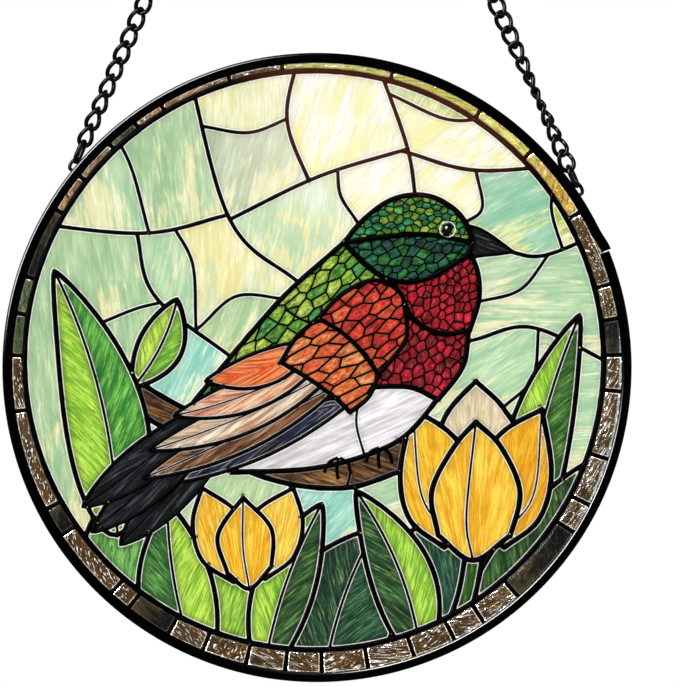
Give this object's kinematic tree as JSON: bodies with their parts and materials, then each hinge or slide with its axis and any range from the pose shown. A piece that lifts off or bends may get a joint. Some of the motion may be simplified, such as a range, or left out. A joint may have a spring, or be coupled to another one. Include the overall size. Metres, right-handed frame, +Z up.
{
  "type": "stained glass suncatcher",
  "caption": "Round leaded glass suncatcher in a black channel ring, with a songbird, tulips and leaves, on a black chain that hangs from a small ring.",
  "frame": {"origin": "the point inside the top of the hanging ring, where the hook bears", "axes": "+Z up along the hang, -Y out of the picture's front, +X to the right seen from the front"},
  "size_m": [0.2, 0.006, 0.3505],
  "materials": {
    "black_metal": "semi-gloss black",
    "lead": "black patina on lead and solder, slightly worn",
    "border_glass": "hammered brown glass, glossy",
    "wing_shoulder_glass": "streaky red glass, glossy",
    "wing_covert_glass": "streaky orange glass, glossy",
    "wing_feather_1_glass": "streaky orange glass, glossy",
    "wing_feather_2_glass": "streaky peach glass, glossy",
    "wing_feather_3_glass": "streaky pale peach glass, glossy",
    "wing_feather_4_glass": "streaky brown glass, glossy",
    "wing_feather_5_glass": "dark blue glass, glossy",
    "crown_glass": "green glass, glossy",
    "cheek_glass": "dark green glass, glossy",
    "throat_glass": "red glass, glossy",
    "beak_glass": "black glass, glossy",
    "breast_glass": "dark red glass, glossy",
    "belly_glass": "streaky white glass, glossy",
    "back_glass": "green glass, glossy",
    "tail_glass": "black glass with pale streaks, glossy",
    "tulip_stem_glass": "dark green glass, glossy",
    "small_tulip_glass": "streaky yellow glass, glossy",
    "tulip_glass": "streaky golden yellow glass, glossy",
    "leaf_glass": "streaky green glass, glossy",
    "branch_glass": "streaky brown glass, glossy",
    "sky_glass": "pale mint opalescent glass with soft streaks, glossy"
  },
  "bodies": {
    "root": {"back": "back_glass", "beak": "beak_glass", "belly": "belly_glass", "border_ring": "border_glass", "branch_1": "branch_glass", "branch_2": "branch_glass", "breast": "breast_glass", "chain_left": "black_metal", "chain_right": "black_metal", "cheek": "cheek_glass", "crown": "crown_glass", "eyelet_left": "black_metal", "eyelet_right": "black_metal", "frame_ring": "black_metal", "hang_ring": "black_metal", "lead_net": "lead", "leaf_1": "leaf_glass", "leaf_10": "leaf_glass", "leaf_11": "leaf_glass", "leaf_2": "leaf_glass", "leaf_3": "leaf_glass", "leaf_4": "leaf_glass", "leaf_5": "leaf_glass", "leaf_6": "leaf_glass", "leaf_7": "leaf_glass", "leaf_8": "leaf_glass", "leaf_9": "leaf_glass", "sky_1": "sky_glass", "sky_10": "sky_glass", "sky_11": "sky_glass", "sky_12": "sky_glass", "sky_13": "sky_glass", "sky_14": "sky_glass", "sky_2": "sky_glass", "sky_3": "sky_glass", "sky_4": "sky_glass", "sky_5": "sky_glass", "sky_6": "sky_glass", "sky_7": "sky_glass", "sky_8": "sky_glass", "sky_9": "sky_glass", "small_tulip_front": "small_tulip_glass", "small_tulip_left": "small_tulip_glass", "small_tulip_right": "small_tulip_glass", "tail_lower": "tail_glass", "tail_middle": "tail_glass", "tail_upper": "tail_glass", "throat": "throat_glass", "tulip_back": "tulip_glass", "tulip_front": "tulip_glass", "tulip_left": "tulip_glass", "tulip_right": "tulip_glass", "tulip_stem": "tulip_stem_glass", "wing_covert": "wing_covert_glass", "wing_feather_1": "wing_feather_1_glass", "wing_feather_2": "wing_feather_2_glass", "wing_feather_3": "wing_feather_3_glass", "wing_feather_4": "wing_feather_4_glass", "wing_feather_5": "wing_feather_5_glass", "wing_shoulder": "wing_shoulder_glass"}
  },
  "joints": []
}
